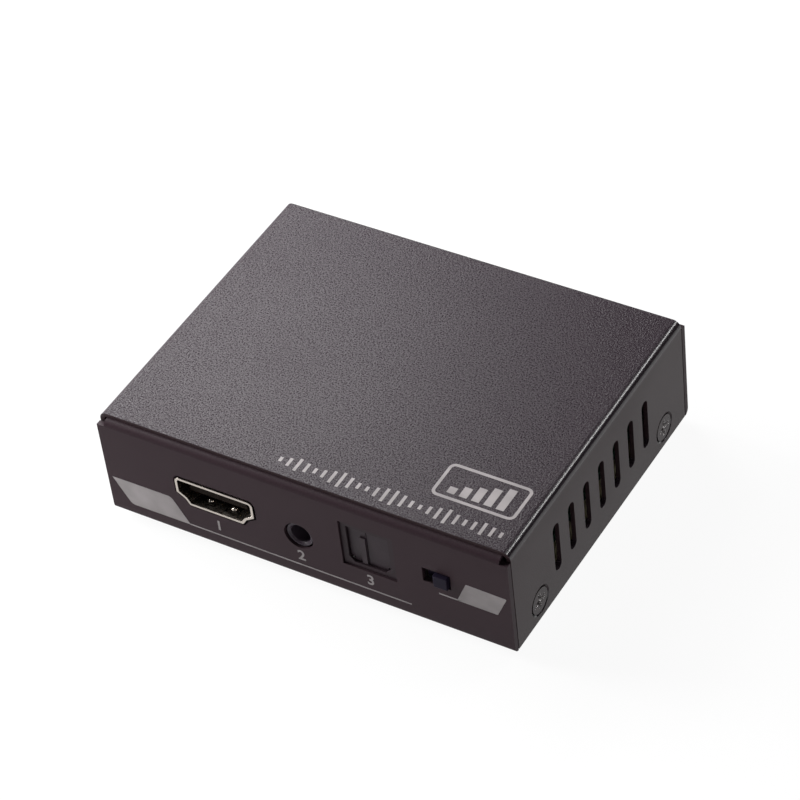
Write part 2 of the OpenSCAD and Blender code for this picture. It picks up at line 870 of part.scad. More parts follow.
module optical_housing() {
    color([0.1, 0.1, 0.1]) at_front(optical_x) {
        difference() {
            translate([0, optical_sink + optical_l / 2, 0]) block(optical_w, optical_l, optical_h);
            translate([0, optical_sink - over, lip_z]) run(lip_t + 2 * over) keyed_opening();
            translate([0, optical_sink + (lip_t + cavity_l) / 2, optical_floor])
                block(2 * cavity_half, cavity_l - lip_t, cavity_h);
            translate([0, optical_sink, optical_axis_z]) rod(optical_l, barrel_bore_r);
            // Pocket of the emitter and the cap, open to the back and to the board
            translate([0, pocket_y + optical_l / 2, optical_floor])
                block(2 * cavity_half, optical_l, cavity_h);
            translate([0, pocket_y + emitter_t / 2, -over])
                block(emitter_w, emitter_t, optical_floor + 2 * over);
            at_hinges() translate([0, 0, optical_floor - hinge_l])
                cylinder(h = cavity_h + 2 * hinge_l, r = hinge_r + hinge_clear);
        }
        translate([0, optical_sink + cavity_l - barrel_l, optical_axis_z]) difference() {
            rod(barrel_l + optical_mid_t / 2, barrel_r);
            translate([0, -over, 0]) rod(barrel_l + 2 * over, barrel_bore_r);
        }
        at_pegs() translate([0, 0, -peg_l]) cylinder(h = peg_l, r = peg_r);
    }
}

// A door on its hinge axis, which runs a width towards the other door
module door_leaf(width) {
    height = cavity_h - 2 * door_end_gap;
    translate([0, 0, optical_floor + door_end_gap]) difference() {
        union() {
            cylinder(h = height, r = door_t / 2);
            translate([0, -door_t / 2, 0]) cube([width, door_t, height]);
        }
        translate([-door_t, -door_t, -over])
            cube([door_t + coil_notch_w, 2 * door_t, over + coil_notch_h]);
    }
    translate([0, 0, optical_floor - hinge_l + hinge_clear])
        cylinder(h = cavity_h + 2 * (hinge_l - hinge_clear), r = hinge_r);
}

module optical_left_door() {
    width = hinge_x + door_seam_x - seam_gap / 2;
    color([0.13, 0.13, 0.13]) at_front(optical_x) translate([-hinge_x, hinge_y, 0]) {
        door_leaf(width);
        translate([width - bar_w - bar_back, -door_t / 2 - bar_t, lip_z + door_end_gap])
            cube([bar_w, bar_t + door_t / 2, optical_hole_h - bar_drop]);
    }
}

module optical_right_door() {
    width = hinge_x - door_seam_x - seam_gap / 2;
    color([0.13, 0.13, 0.13]) at_front(optical_x) translate([hinge_x, hinge_y, 0])
        mirror([1, 0, 0]) door_leaf(width);
}

// Points of one ring of the coil's wire, at a turn in degrees
function coil_ring(turn) = [
    for (i = [0 : coil_sides - 1])
        let (a = 360 * i / coil_sides, r = coil_r + coil_wire_r * cos(a))
            [r * cos(turn), r * sin(turn), coil_pitch * turn / 360 + coil_wire_r * sin(a)]
];

// One unbroken coil of wire, drawn ring by ring from bottom to top
module coil() {
    rings = coil_turns * coil_rings;
    points = [for (k = [0 : rings]) each coil_ring(360 * k / coil_rings)];
    sides = [
        for (k = [0 : rings - 1], i = [0 : coil_sides - 1])
            let (a = k * coil_sides + i, b = k * coil_sides + (i + 1) % coil_sides)
                each [[a, a + coil_sides, b], [b, a + coil_sides, b + coil_sides]]
    ];
    first = [for (i = [1 : coil_sides - 2]) [0, i, i + 1]];
    last_ring = rings * coil_sides;
    last = [for (i = [1 : coil_sides - 2]) [last_ring, last_ring + i + 1, last_ring + i]];
    polyhedron(points, concat(sides, first, last), convexity = 10);
}

module optical_door_springs() {
    color("silver") at_front(optical_x) at_hinges()
        translate([0, 0, optical_floor + coil_wire_r]) coil();
}

module optical_emitter() {
    color([0.3, 0.3, 0.34]) at_front(optical_x) {
        translate([0, pocket_y + emitter_t / 2, optical_axis_z - emitter_h / 2])
            block(emitter_w, emitter_t, emitter_h);
        translate([0, pocket_y - emitter_lens_l, optical_axis_z])
            rod(emitter_lens_l + emitter_t / 2, emitter_lens_r);
    }
}

module optical_leads() {
    color("silver") at_front(optical_x) at_emitter_leads()
        translate([0, 0, -tail_l])
            block(lead_w, lead_t, tail_l + optical_axis_z - emitter_h / 2);
}

// Cap that holds the emitter against the wall, flush with the housing's back
module optical_rear_cap() {
    front = pocket_y + emitter_t + cap_clear;
    depth = optical_sink + optical_l - front;
    color([0.12, 0.12, 0.12]) at_front(optical_x)
        translate([0, front + depth / 2, optical_floor + cap_clear])
            block(2 * (cavity_half - cap_clear), depth, cavity_h - 2 * cap_clear);
}

// Slide switches

// Clearance of the knob in the panel's slot, at its ends and above and below
slot_end_clear = 0.3;
slot_side_clear = 0.25;
// Extra width of the slot in the switch's own frame
frame_slot_extra = 0.1;
// Frame: sheet thickness, height and distance of its legs behind its face
frame_t = 0.3;
frame_h = 5.6;
frame_leg_y = 1.7;
// Carriage behind the frame's face: depth, height and clearance
carriage_l = 1.5;
carriage_h = 4.2;
carriage_clear = 0.1;
// Cover of the frame's slot that the carriage keeps past the knob's travel
carriage_lap = 0.25;
// Wiper on the carriage: width, height and depth
wiper_w = 3.2;
wiper_h = 1.2;
wiper_t = 0.3;
// Base plate behind the wiper: thickness
base_t = 1.0;
// Terminals: width, thickness and stand-off of the fall behind the base
terminal_w = 0.8;
terminal_t = 0.25;
terminal_drop = 0.35;
// Width of the frame's two legs
switch_leg_w = 1.2;
// Number of places of each switch's knob
source_places = 2;
mode_places = 3;

// Sizes of a switch with a given travel
function slot_l(travel) = knob_w + travel + 2 * slot_end_clear;
function carriage_w(travel) = knob_w + 2 * travel + 2 * carriage_lap;
function frame_w(travel) = carriage_w(travel) + travel + 2 * (carriage_clear + frame_t);
// Depths behind the panel's face: the frame's face, the carriage, the wiper and the base
frame_y = behind_panel;
carriage_y = frame_y + frame_t + carriage_clear;
wiper_y = carriage_y + carriage_l;
base_y = wiper_y + wiper_t + carriage_clear;
// Height of the terminals' pads against the switch's axis
terminal_z = switch_axis_z - terminal_w / 2;

module switch_cutout(travel) {
    translate([0, 0, switch_axis_z - knob_h / 2 - slot_side_clear])
        block(slot_l(travel), 2 * (tray_t + over), knob_h + 2 * slot_side_clear);
}

// Places of the frame's two legs
module at_switch_legs(travel) {
    for (side = [-1, 1])
        translate([side * (frame_w(travel) - frame_t) / 2, frame_y + frame_leg_y, 0]) children();
}

// Places of the terminals: one for each of the knob's places, and one more
module at_terminals(travel, places) {
    for (i = [0 : places]) translate([(i - places / 2) * travel / (places - 1), 0, 0]) children();
}

module switch_board_holes(travel, places) {
    at_switch_legs(travel) board_hole(frame_t, switch_leg_w);
    at_terminals(travel, places)
        translate([0, base_y + base_t + terminal_drop + terminal_t / 2, 0])
            board_hole(terminal_w, terminal_t);
}

// Folded frame: face, top and bottom, ends and two legs down to the board
module switch_frame(travel) {
    w = frame_w(travel);
    low = switch_axis_z - frame_h / 2;
    depth = base_y + base_t - frame_y;
    difference() {
        translate([0, frame_y + depth / 2, low]) block(w, depth, frame_h);
        translate([0, frame_y + frame_t + depth / 2, low + frame_t])
            block(w - 2 * frame_t, depth, frame_h - 2 * frame_t);
        translate([0, frame_y, switch_axis_z - knob_h / 2 - slot_side_clear])
            block(slot_l(travel) + 2 * frame_slot_extra, 2 * over, knob_h + 2 * slot_side_clear);
    }
    at_switch_legs(travel) translate([0, 0, -tail_l])
        block(frame_t, switch_leg_w, tail_l + switch_axis_z);
}

module switch_base(travel, places) {
    w = frame_w(travel) - 2 * (frame_t + carriage_clear);
    h = frame_h - 2 * (frame_t + carriage_clear);
    difference() {
        translate([0, base_y + base_t / 2, switch_axis_z - h / 2]) block(w, base_t, h);
        at_terminals(travel, places)
            translate([0, base_y + base_t / 2, terminal_z - carriage_clear])
                block(terminal_w + 2 * carriage_clear, base_t + 2 * over,
                      terminal_w + 2 * carriage_clear);
    }
}

// Slider: knob and carriage
module switch_slider(travel) {
    translate([0, wiper_y - carriage_l / 2, switch_axis_z - carriage_h / 2])
        block(carriage_w(travel), carriage_l, carriage_h);
    translate([0, (carriage_y - knob_proud) / 2, switch_axis_z - knob_h / 2])
        block(knob_w, carriage_y + knob_proud, knob_h);
}

module switch_wiper() {
    translate([0, wiper_y + wiper_t / 2, switch_axis_z - wiper_h / 2])
        block(wiper_w, wiper_t, wiper_h);
}

module switch_terminals(travel, places) {
    back = base_y + base_t + terminal_drop;
    at_terminals(travel, places) {
        translate([0, (base_y + carriage_clear + back + terminal_t) / 2, terminal_z])
            block(terminal_w, back + terminal_t - base_y - carriage_clear, terminal_w);
        translate([0, back + terminal_t / 2, -tail_l])
            block(terminal_w, terminal_t, tail_l + terminal_z + terminal_w);
    }
}

// The source switch's slider stands at the right end of its travel
source_rest = source_travel / 2;

module source_switch_frame() {
    color("silver") at_front(source_switch_x) switch_frame(source_travel);
}
module source_switch_base() {
    color([0.35, 0.22, 0.12]) at_front(source_switch_x) switch_base(source_travel, source_places);
}
module source_switch_slider() {
    color([0.1, 0.1, 0.12]) at_front(source_switch_x) translate([source_rest, 0, 0])
        switch_slider(source_travel);
}
module source_switch_wiper() {
    color("goldenrod") at_front(source_switch_x) translate([source_rest, 0, 0]) switch_wiper();
}
module source_switch_terminals() {
    color("silver") at_front(source_switch_x) switch_terminals(source_travel, source_places);
}
module mode_switch_frame() {
    color("silver") at_rear(mode_switch_x) switch_frame(mode_travel);
}
module mode_switch_base() {
    color([0.35, 0.22, 0.12]) at_rear(mode_switch_x) switch_base(mode_travel, mode_places);
}
module mode_switch_slider() {
    color([0.1, 0.1, 0.12]) at_rear(mode_switch_x) switch_slider(mode_travel);
}
module mode_switch_wiper() {
    color("goldenrod") at_rear(mode_switch_x) switch_wiper();
}
module mode_switch_terminals() {
    color("silver") at_rear(mode_switch_x) switch_terminals(mode_travel, mode_places);
}

// Power jack

// Clearance of the nose in the panel
power_clear = 0.3;
// Depth of the nose's face behind the panel's face
power_sink = 0.1;
// Centre pin: depth of its tip behind the nose's face, bevel, and shoulder at its root
power_pin_sink = 1.0;
power_pin_bevel = 0.3;
// Radius of the pin's root in the body's back wall
power_root_r = 0.7;
// Lug at the back and spring at the side: width, thickness and distance behind the panel's face
power_lug_w = 2.4;
power_lug_t = 0.4;
power_spring_y = 8.0;
// Gap between the side spring and the barrel opening, and clearance round it
power_spring_gap = 0.05;
power_fit = 0.1;

module power_cutout() {
    translate([0, -over, power_axis_z]) rod(tray_t + 2 * over, power_nose_r + power_clear);
}

// Places of the rear lug and the side spring, by the middle of their thickness
module at_power_lug() {
    translate([0, power_l + power_lug_t / 2, 0]) children();
}
module at_power_spring() {
    translate([power_bore_r + power_spring_gap + power_lug_t / 2, power_spring_y, 0]) children();
}

module power_board_holes() {
    at_power_lug() board_hole(power_lug_w, power_lug_t);
    at_power_spring() board_hole(power_lug_t, power_lug_w);
}

module power_jack_body() {
    color([0.08, 0.08, 0.08]) at_rear(power_x) difference() {
        union() {
            translate([0, (behind_panel + power_l) / 2, 0])
                block(power_w, power_l - behind_panel, power_h);
            translate([0, power_sink, power_axis_z]) rod(power_l / 2, power_nose_r);
        }
        translate([0, power_sink - over, power_axis_z]) rod(power_bore_l + over, power_bore_r);
        translate([0, 0, power_axis_z]) rod(power_l + over, power_root_r + thread_clear);
        at_power_spring() translate([0, 0, -over])
            block(power_lug_t + 2 * power_fit, power_lug_w + 2 * power_fit,
                  power_axis_z + power_lug_w + over);
    }
}

module power_jack_pin() {
    tip = power_sink + power_pin_sink;
    root = power_sink + power_bore_l;
    color("lightgray") at_rear(power_x) translate([0, 0, power_axis_z]) {
        translate([0, tip, 0]) rotate([-90, 0, 0])
            cylinder(h = power_pin_bevel, r1 = power_pin_r - power_pin_bevel, r2 = power_pin_r);
        translate([0, tip + power_pin_bevel, 0]) rod(root - tip - power_pin_bevel, power_pin_r);
        translate([0, root, 0]) rod(power_l - root, power_root_r);
    }
}

module power_jack_contacts() {
    color("silver") at_rear(power_x) {
        at_power_lug() translate([0, 0, -tail_l])
            block(power_lug_w, power_lug_t, tail_l + power_axis_z + power_lug_w / 2);
        at_power_spring() translate([0, 0, -tail_l])
            block(power_lug_t, power_lug_w, tail_l + power_axis_z + power_lug_w / 2);
    }
}

// Indicator lamp

// Clearance of the lamp in the panel and reach in front of its face
lamp_clear = 0.15;
lamp_proud = 0.6;
// Rim behind the panel: radius and length, and length of the lamp behind it
lamp_rim_r = 1.9;
lamp_rim_l = 0.8;
// Holder: width, depth and height above the lamp's axis
lamp_holder_w = 4.6;
lamp_holder_l = 5.0;
lamp_holder_top = 2.3;
// Leads: spacing and width of the square wire
lamp_lead_pitch = 2.0;
lamp_lead_w = 0.45;
// Distance between the holder's back and the falling part of the leads
lamp_lead_drop = 0.5;
// Front face of the holder behind the panel's face
lamp_holder_y = behind_panel + lamp_rim_l + panel_gap;

module lamp_cutout() {
    translate([0, -over, lamp_axis_z]) rod(tray_t + 2 * over, lamp_r + lamp_clear);
}

module at_lamp_leads() {
    for (side = [-1, 1]) translate([side * lamp_lead_pitch / 2, 0, 0]) children();
}

module lamp_board_holes() {
    at_lamp_leads()
        translate([0, lamp_holder_y + lamp_holder_l + lamp_lead_drop + lamp_lead_w / 2, 0])
            board_hole(lamp_lead_w, lamp_lead_w);
}

module power_lamp() {
    color([0.75, 0.8, 0.85]) at_rear(lamp_x) translate([0, 0, lamp_axis_z]) {
        translate([0, lamp_r - lamp_proud, 0]) {
            rotate([90, 0, 0]) rotate_extrude() intersection() {
                circle(lamp_r);
                square(lamp_r);
            }
            rod(lamp_holder_y - lamp_r + lamp_proud, lamp_r);
        }
        translate([0, behind_panel, 0]) rod(lamp_rim_l + panel_gap, lamp_rim_r);
    }
}

module lamp_holder() {
    color([0.1, 0.1, 0.1]) at_rear(lamp_x) difference() {
        translate([0, lamp_holder_y + lamp_holder_l / 2, 0])
            block(lamp_holder_w, lamp_holder_l, lamp_axis_z + lamp_holder_top);
        at_lamp_leads() translate([0, 0, lamp_axis_z - lamp_lead_w / 2 - thread_clear])
            translate([0, lamp_holder_y + lamp_holder_l / 2, 0])
                block(lamp_lead_w + 2 * thread_clear, lamp_holder_l + 2 * over,
                      lamp_lead_w + 2 * thread_clear);
    }
}

module lamp_leads() {
    reach = lamp_holder_l + lamp_lead_drop + lamp_lead_w;
    color("silver") at_rear(lamp_x) at_lamp_leads() {
        translate([0, lamp_holder_y + reach / 2, lamp_axis_z - lamp_lead_w / 2])
            block(lamp_lead_w, reach, lamp_lead_w);
        translate([0, lamp_holder_y + reach - lamp_lead_w / 2, -tail_l])
            block(lamp_lead_w, lamp_lead_w, tail_l + lamp_axis_z);
    }
}

// Board parts

// Plan positions of the board parts, from the middle of the board
main_chip_x = -3;
main_chip_y = -1;
audio_chip_x = 14;
audio_chip_y = -9;
control_chip_x = 13;
control_chip_y = 3;
crystal_x = 26;
crystal_y = -6;
can_x = -29;
can_pitch = 7.5;
can_count = 3;
inductor_x = -19;
inductor_y = 5;
regulator_x = -19;
regulator_y = -4;
// Thickness of the pad between the main chip and the heat sink
pad_t = 0.5;
// Heat sink: thickness of its base and of a fin
sink_base_t = 1.5;
fin_t = 0.8;
// Radius and depth of the mark at a chip's first lead
dimple_r = 0.5;
dimple_depth = 0.1;
// Small chips: width, depth, height, stand-off above the board
small_chip_w = 6.4;
small_chip_d = 4.4;
small_chip_h = 1.1;
small_chip_lift = 0.1;
// Their leads: number on each side, spacing, width, thickness, reach and foot
chip_lead_count = 8;
chip_lead_pitch = 0.65;
chip_lead_w = 0.25;
chip_lead_t = 0.15;
chip_lead_reach = 0.35;
chip_lead_foot = 0.6;
// Crystal can: width, depth and height
crystal_w = 11;
crystal_d = 4.6;
crystal_h = 3.5;
crystal_rim = 0.5;
crystal_rim_t = 0.4;
// Base plate of a bulk capacitor: width, height, and radial gap round the can
can_base_w = 5.3;
can_base_h = 0.8;
// Power inductor: width, height and bevel, and the lugs at its ends
inductor_w = 6;
inductor_h = 3;
inductor_bevel = 1.2;
// Voltage regulator: width, depth, height, tab reach and leads
regulator_w = 6.5;
regulator_d = 3.5;
regulator_h = 1.6;
regulator_tab_w = 3;
regulator_lead_w = 0.7;
regulator_lead_pitch = 2.3;
regulator_lead_l = 1.6;
regulator_lead_t = 0.25;
// Small chip parts: length, width, height, and the gap between them
small_l = 1.6;
small_w = 0.8;
small_h = 0.6;
small_pitch_x = 2.6;
small_pitch_y = 2.4;
// Fields of small parts: place of the first part, then columns and rows
small_fields = [
    [-2 * small_pitch_x, 4.2 * small_pitch_y, 5, 2],
    [2.9 * small_pitch_x, -1.7 * small_pitch_y, 3, 2],
    [-9 * small_pitch_x, -4.6 * small_pitch_y, 6, 2],
    [7.4 * small_pitch_x, 2.2 * small_pitch_y, 4, 2]
];

module main_chip() {
    color([0.12, 0.12, 0.12]) on_board(main_chip_x, main_chip_y) block(chip_w, chip_w, chip_t);
}

module thermal_pad() {
    color([0.7, 0.75, 0.8]) on_board(main_chip_x, main_chip_y) translate([0, 0, chip_t])
        block(chip_w, chip_w, pad_t);
}

module heat_sink() {
    color([0.75, 0.76, 0.78]) on_board(main_chip_x, main_chip_y)
        translate([0, 0, chip_t + pad_t]) {
            block(sink_w, sink_w, sink_base_t);
            for (i = [0 : fin_count - 1])
                translate([(i - (fin_count - 1) / 2) * (sink_w - fin_t) / (fin_count - 1), 0, 0])
                    block(fin_t, sink_w, sink_h);
        }
}

// A moulded chip with the mark of its first lead
module small_chip() {
    difference() {
        translate([0, 0, small_chip_lift]) block(small_chip_w, small_chip_d, small_chip_h);
        translate([2 * dimple_r - small_chip_w / 2, 2 * dimple_r - small_chip_d / 2,
                   small_chip_lift + small_chip_h - dimple_depth])
            cylinder(h = over, r = dimple_r);
    }
}

// The bent leads along both sides of a small chip
module small_chip_leads() {
    mid = small_chip_lift + small_chip_h / 2;
    for (side = [0, 1], i = [0 : chip_lead_count - 1]) mirror([0, side, 0])
        translate([(i - (chip_lead_count - 1) / 2) * chip_lead_pitch, small_chip_d / 2, 0]) {
            translate([0, (chip_lead_reach + chip_lead_t) / 2, mid])
                block(chip_lead_w, chip_lead_reach + chip_lead_t, chip_lead_t);
            translate([0, chip_lead_reach + chip_lead_t / 2, 0])
                block(chip_lead_w, chip_lead_t, mid + chip_lead_t);
            translate([0, chip_lead_reach + chip_lead_foot / 2, 0])
                block(chip_lead_w, chip_lead_foot, chip_lead_t);
        }
}

module audio_chip() {
    color([0.12, 0.12, 0.12]) on_board(audio_chip_x, audio_chip_y) small_chip();
}
module control_chip() {
    color([0.12, 0.12, 0.12]) on_board(control_chip_x, control_chip_y) small_chip();
}
module chip_leads() {
    color("silver") {
        on_board(audio_chip_x, audio_chip_y) small_chip_leads();
        on_board(control_chip_x, control_chip_y) small_chip_leads();
    }
}

// An upright can with round ends, as an outline
module crystal_outline(grow) {
    r = crystal_d / 2 + grow;
    square([crystal_w - crystal_d, 2 * r], center = true);
    for (side = [-1, 1]) translate([side * (crystal_w - crystal_d) / 2, 0]) circle(r);
}

module crystal_can() {
    color("silver") on_board(crystal_x, crystal_y) {
        linear_extrude(crystal_rim_t) crystal_outline(crystal_rim);
        linear_extrude(crystal_h) crystal_outline(0);
    }
}

module at_cans() {
    for (i = [0 : can_count - 1])
        on_board(can_x, (i - (can_count - 1) / 2) * can_pitch) children();
}

module bulk_capacitors() {
    color([0.78, 0.78, 0.8]) at_cans() translate([0, 0, can_base_h])
        cylinder(h = can_h - can_base_h, r = can_r);
}

module capacitor_bases() {
    color([0.1, 0.1, 0.1]) at_cans() block(can_base_w, can_base_w, can_base_h);
}

module power_inductor() {
    half = inductor_w / 2;
    inner = half - inductor_bevel;
    color([0.25, 0.25, 0.27]) on_board(inductor_x, inductor_y) linear_extrude(inductor_h)
        polygon([
            [inner, -half], [half, -inner], [half, inner], [inner, half],
            [-inner, half], [-half, inner], [-half, -inner], [-inner, -half]
        ]);
}

module voltage_regulator() {
    color([0.12, 0.12, 0.12]) on_board(regulator_x, regulator_y)
        translate([0, 0, regulator_lead_t]) block(regulator_w, regulator_d, regulator_h);
}

module regulator_leads() {
    color("silver") on_board(regulator_x, regulator_y) {
        translate([0, (regulator_d + regulator_lead_l) / 2, 0])
            block(regulator_tab_w, regulator_lead_l, regulator_lead_t);
        for (i = [-1 : 1])
            translate([i * regulator_lead_pitch, -(regulator_d + regulator_lead_l) / 2, 0])
                block(regulator_lead_w, regulator_lead_l, regulator_lead_t);
    }
}

module small_parts() {
    color([0.45, 0.38, 0.3])
        for (field = small_fields, i = [0 : field[2] - 1], k = [0 : field[3] - 1])
            on_board(field[0] + i * small_pitch_x, field[1] + k * small_pitch_y)
                block(small_l, small_w, small_h);
}

tray();
cover();
cover_screws();
rubber_feet();
standoffs();
insulating_sheet();
circuit_board();
board_screws();
video_out_shell();
video_out_insulator();
video_out_contacts();
video_in_shell();
video_in_insulator();
video_in_contacts();
audio_jack_body();
audio_jack_contacts();
optical_housing();
optical_left_door();
optical_right_door();
optical_door_springs();
optical_emitter();
optical_leads();
optical_rear_cap();
source_switch_frame();
source_switch_base();
source_switch_slider();
source_switch_wiper();
source_switch_terminals();
mode_switch_frame();
mode_switch_base();
mode_switch_slider();
mode_switch_wiper();
mode_switch_terminals();
power_jack_body();
power_jack_pin();
power_jack_contacts();
power_lamp();
lamp_holder();
lamp_leads();
main_chip();
thermal_pad();
heat_sink();
audio_chip();
control_chip();
chip_leads();
crystal_can();
bulk_capacitors();
capacitor_bases();
power_inductor();
voltage_regulator();
regulator_leads();
small_parts();
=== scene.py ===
import json
import math

import bmesh
import bpy
from mathutils import Matrix, Vector


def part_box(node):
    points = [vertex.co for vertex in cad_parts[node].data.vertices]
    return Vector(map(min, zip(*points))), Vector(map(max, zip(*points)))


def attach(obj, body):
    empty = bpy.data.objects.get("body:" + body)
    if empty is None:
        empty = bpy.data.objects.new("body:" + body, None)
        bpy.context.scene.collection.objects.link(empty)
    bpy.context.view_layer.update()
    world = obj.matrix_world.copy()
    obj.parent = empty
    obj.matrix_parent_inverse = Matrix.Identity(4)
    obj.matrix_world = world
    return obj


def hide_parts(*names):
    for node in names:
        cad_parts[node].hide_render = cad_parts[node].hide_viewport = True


# Looks of a small folded-metal box with sockets along its front and rear panels

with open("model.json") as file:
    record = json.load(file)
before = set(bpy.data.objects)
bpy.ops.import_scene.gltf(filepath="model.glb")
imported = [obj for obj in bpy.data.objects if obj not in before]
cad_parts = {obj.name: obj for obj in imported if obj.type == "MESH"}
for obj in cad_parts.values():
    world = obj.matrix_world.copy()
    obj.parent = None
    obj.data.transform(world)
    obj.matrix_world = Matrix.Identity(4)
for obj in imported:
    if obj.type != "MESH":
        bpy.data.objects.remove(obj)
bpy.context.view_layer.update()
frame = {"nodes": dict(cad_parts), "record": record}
nodes = frame["nodes"]

MM = 0.001
SENSOR_MM = 36
IMAGE_PX = 800

# Camera: where it stands round the case, its lens in pixels, and how far off-centre it aims
CAMERA_AZIMUTH = 35.2217
CAMERA_ELEVATION = 42.8068
CAMERA_ROLL = -7.3331
CAMERA_FOCAL_PX = 3100.07
CAMERA_DISTANCE_MM = 513.416
CAMERA_AIM_PX = (-3.1691, 13.8717)

# Heights and faces of the case, from the frame
tray_low, tray_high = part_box("tray")
cover_low, cover_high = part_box("cover")
FRONT_Y = tray_low.y
REAR_Y = tray_high.y
TRAY_Z = tray_low.z
TOP_Z = cover_high.z
PRINT_T = 0.02 * MM


def camera_axes():
    """Right, up and back directions of the camera."""
    a = math.radians(CAMERA_AZIMUTH)
    e = math.radians(CAMERA_ELEVATION)
    r = math.radians(CAMERA_ROLL)
    back = Vector((math.sin(a) * math.cos(e), -math.cos(a) * math.cos(e), math.sin(e)))
    right = Vector((0, 0, 1)).cross(back).normalized()
    up = back.cross(right)
    return (right * math.cos(r) + up * math.sin(r),
            up * math.cos(r) - right * math.sin(r), back)


def add_camera():
    right, up, back = camera_axes()
    distance = CAMERA_DISTANCE_MM * MM
    target = Vector((0, 0, (TRAY_Z + TOP_Z) / 2))
    shift_x = -CAMERA_AIM_PX[0] / CAMERA_FOCAL_PX * distance
    shift_y = CAMERA_AIM_PX[1] / CAMERA_FOCAL_PX * distance
    place = target + right * shift_x + up * shift_y + back * distance
    data = bpy.data.cameras.new("camera")
    data.sensor_width = SENSOR_MM
    data.lens = CAMERA_FOCAL_PX * SENSOR_MM / IMAGE_PX
    data.clip_start = 10 * MM
    data.clip_end = 10
    camera = bpy.data.objects.new("camera", data)
    turn = Matrix((right, up, back)).transposed().to_4x4()
    camera.matrix_world = Matrix.Translation(place) @ turn
    bpy.context.scene.collection.objects.link(camera)
    bpy.context.scene.camera = camera


# Materials

def new_material(name):
    material = bpy.data.materials.new(name)
    material.use_nodes = True
    tree = material.node_tree
    shader = tree.nodes["Principled BSDF"]
    return material, tree, shader


def object_coordinates(tree):
    return tree.nodes.new("ShaderNodeTexCoord").outputs["Object"]


def noise(tree, size_mm, detail=2.0, roughness=0.5):
    """Noise whose lumps are about size_mm across."""
    node = tree.nodes.new("ShaderNodeTexNoise")
    node.inputs["Scale"].default_value = 1 / (size_mm * MM)
    node.inputs["Detail"].default_value = detail
    node.inputs["Roughness"].default_value = roughness
    tree.links.new(object_coordinates(tree), node.inputs["Vector"])
    return node.outputs["Fac"]


def map_range(tree, value, low, high, from_low=0.3, from_high=0.7):
    node = tree.nodes.new("ShaderNodeMapRange")
    node.inputs["From Min"].default_value = from_low
    node.inputs["From Max"].default_value = from_high
    node.inputs["To Min"].default_value = low
    node.inputs["To Max"].default_value = high
    tree.links.new(value, node.inputs["Value"])
    return node.outputs["Result"]


def two_colors(tree, value, dark, light):
    """Color that runs from dark to light with a value."""
    node = tree.nodes.new("ShaderNodeMix")
    node.data_type = "RGBA"
    node.inputs["A"].default_value = (*dark, 1)
    node.inputs["B"].default_value = (*light, 1)
    tree.links.new(map_range(tree, value, 0, 1), node.inputs["Factor"])
    return node.outputs["Result"]


def bump(tree, value, depth_mm, strength=None):
    """Relief as deep as depth_mm, or as the strength's share of it."""
    node = tree.nodes.new("ShaderNodeBump")
    node.inputs["Distance"].default_value = depth_mm * MM
    node.inputs["Strength"].default_value = 1
    if strength is not None:
        tree.links.new(strength, node.inputs["Strength"])
    tree.links.new(value, node.inputs["Height"])
    return node.outputs["Normal"]


def shade(color, share):
    return tuple(c * share for c in color)


# Upward parts of the normal between which a face counts as side or bend, and as bend or level top
SIDE_TO_BEND = (0.03, 0.2)
BEND_TO_TOP = (0.88, 0.97)


def face_shares(tree):
    """How far a face lies in the bend between the level top and the upright sides, and on a side."""
    geometry = tree.nodes.new("ShaderNodeNewGeometry")
    parts = tree.nodes.new("ShaderNodeSeparateXYZ")
    tree.links.new(geometry.outputs["Normal"], parts.inputs["Vector"])
    off_top = map_range(tree, parts.outputs["Z"], 1, 0, *BEND_TO_TOP)
    off_side = map_range(tree, parts.outputs["Z"], 0, 1, *SIDE_TO_BEND)
    side = map_range(tree, parts.outputs["Z"], 1, 0, *SIDE_TO_BEND)
    both = tree.nodes.new("ShaderNodeMath")
    both.operation = "MULTIPLY"
    tree.links.new(off_top, both.inputs[0])
    tree.links.new(off_side, both.inputs[1])
    return both.outputs["Value"], side


def blend(tree, share, value, other):
    """Value, a socket or a number, that gives way to a plain number as a share grows from 0 to 1."""
    node = tree.nodes.new("ShaderNodeMix")
    tree.links.new(share, node.inputs["Factor"])
    if isinstance(value, (int, float)):
        node.inputs["A"].default_value = value
    else:
        tree.links.new(value, node.inputs["A"])
    node.inputs["B"].default_value = other
    return node.outputs["Result"]


# Size of a coat's slow drift in gloss, gloss of its upright sides as a share of the top's, and grain of
# its sides and bends
DRIFT_MM = 18.0
SIDE_GLOSS = 0.66
SIDE_GRAIN = 0.3
BEND_GRAIN = 0.1


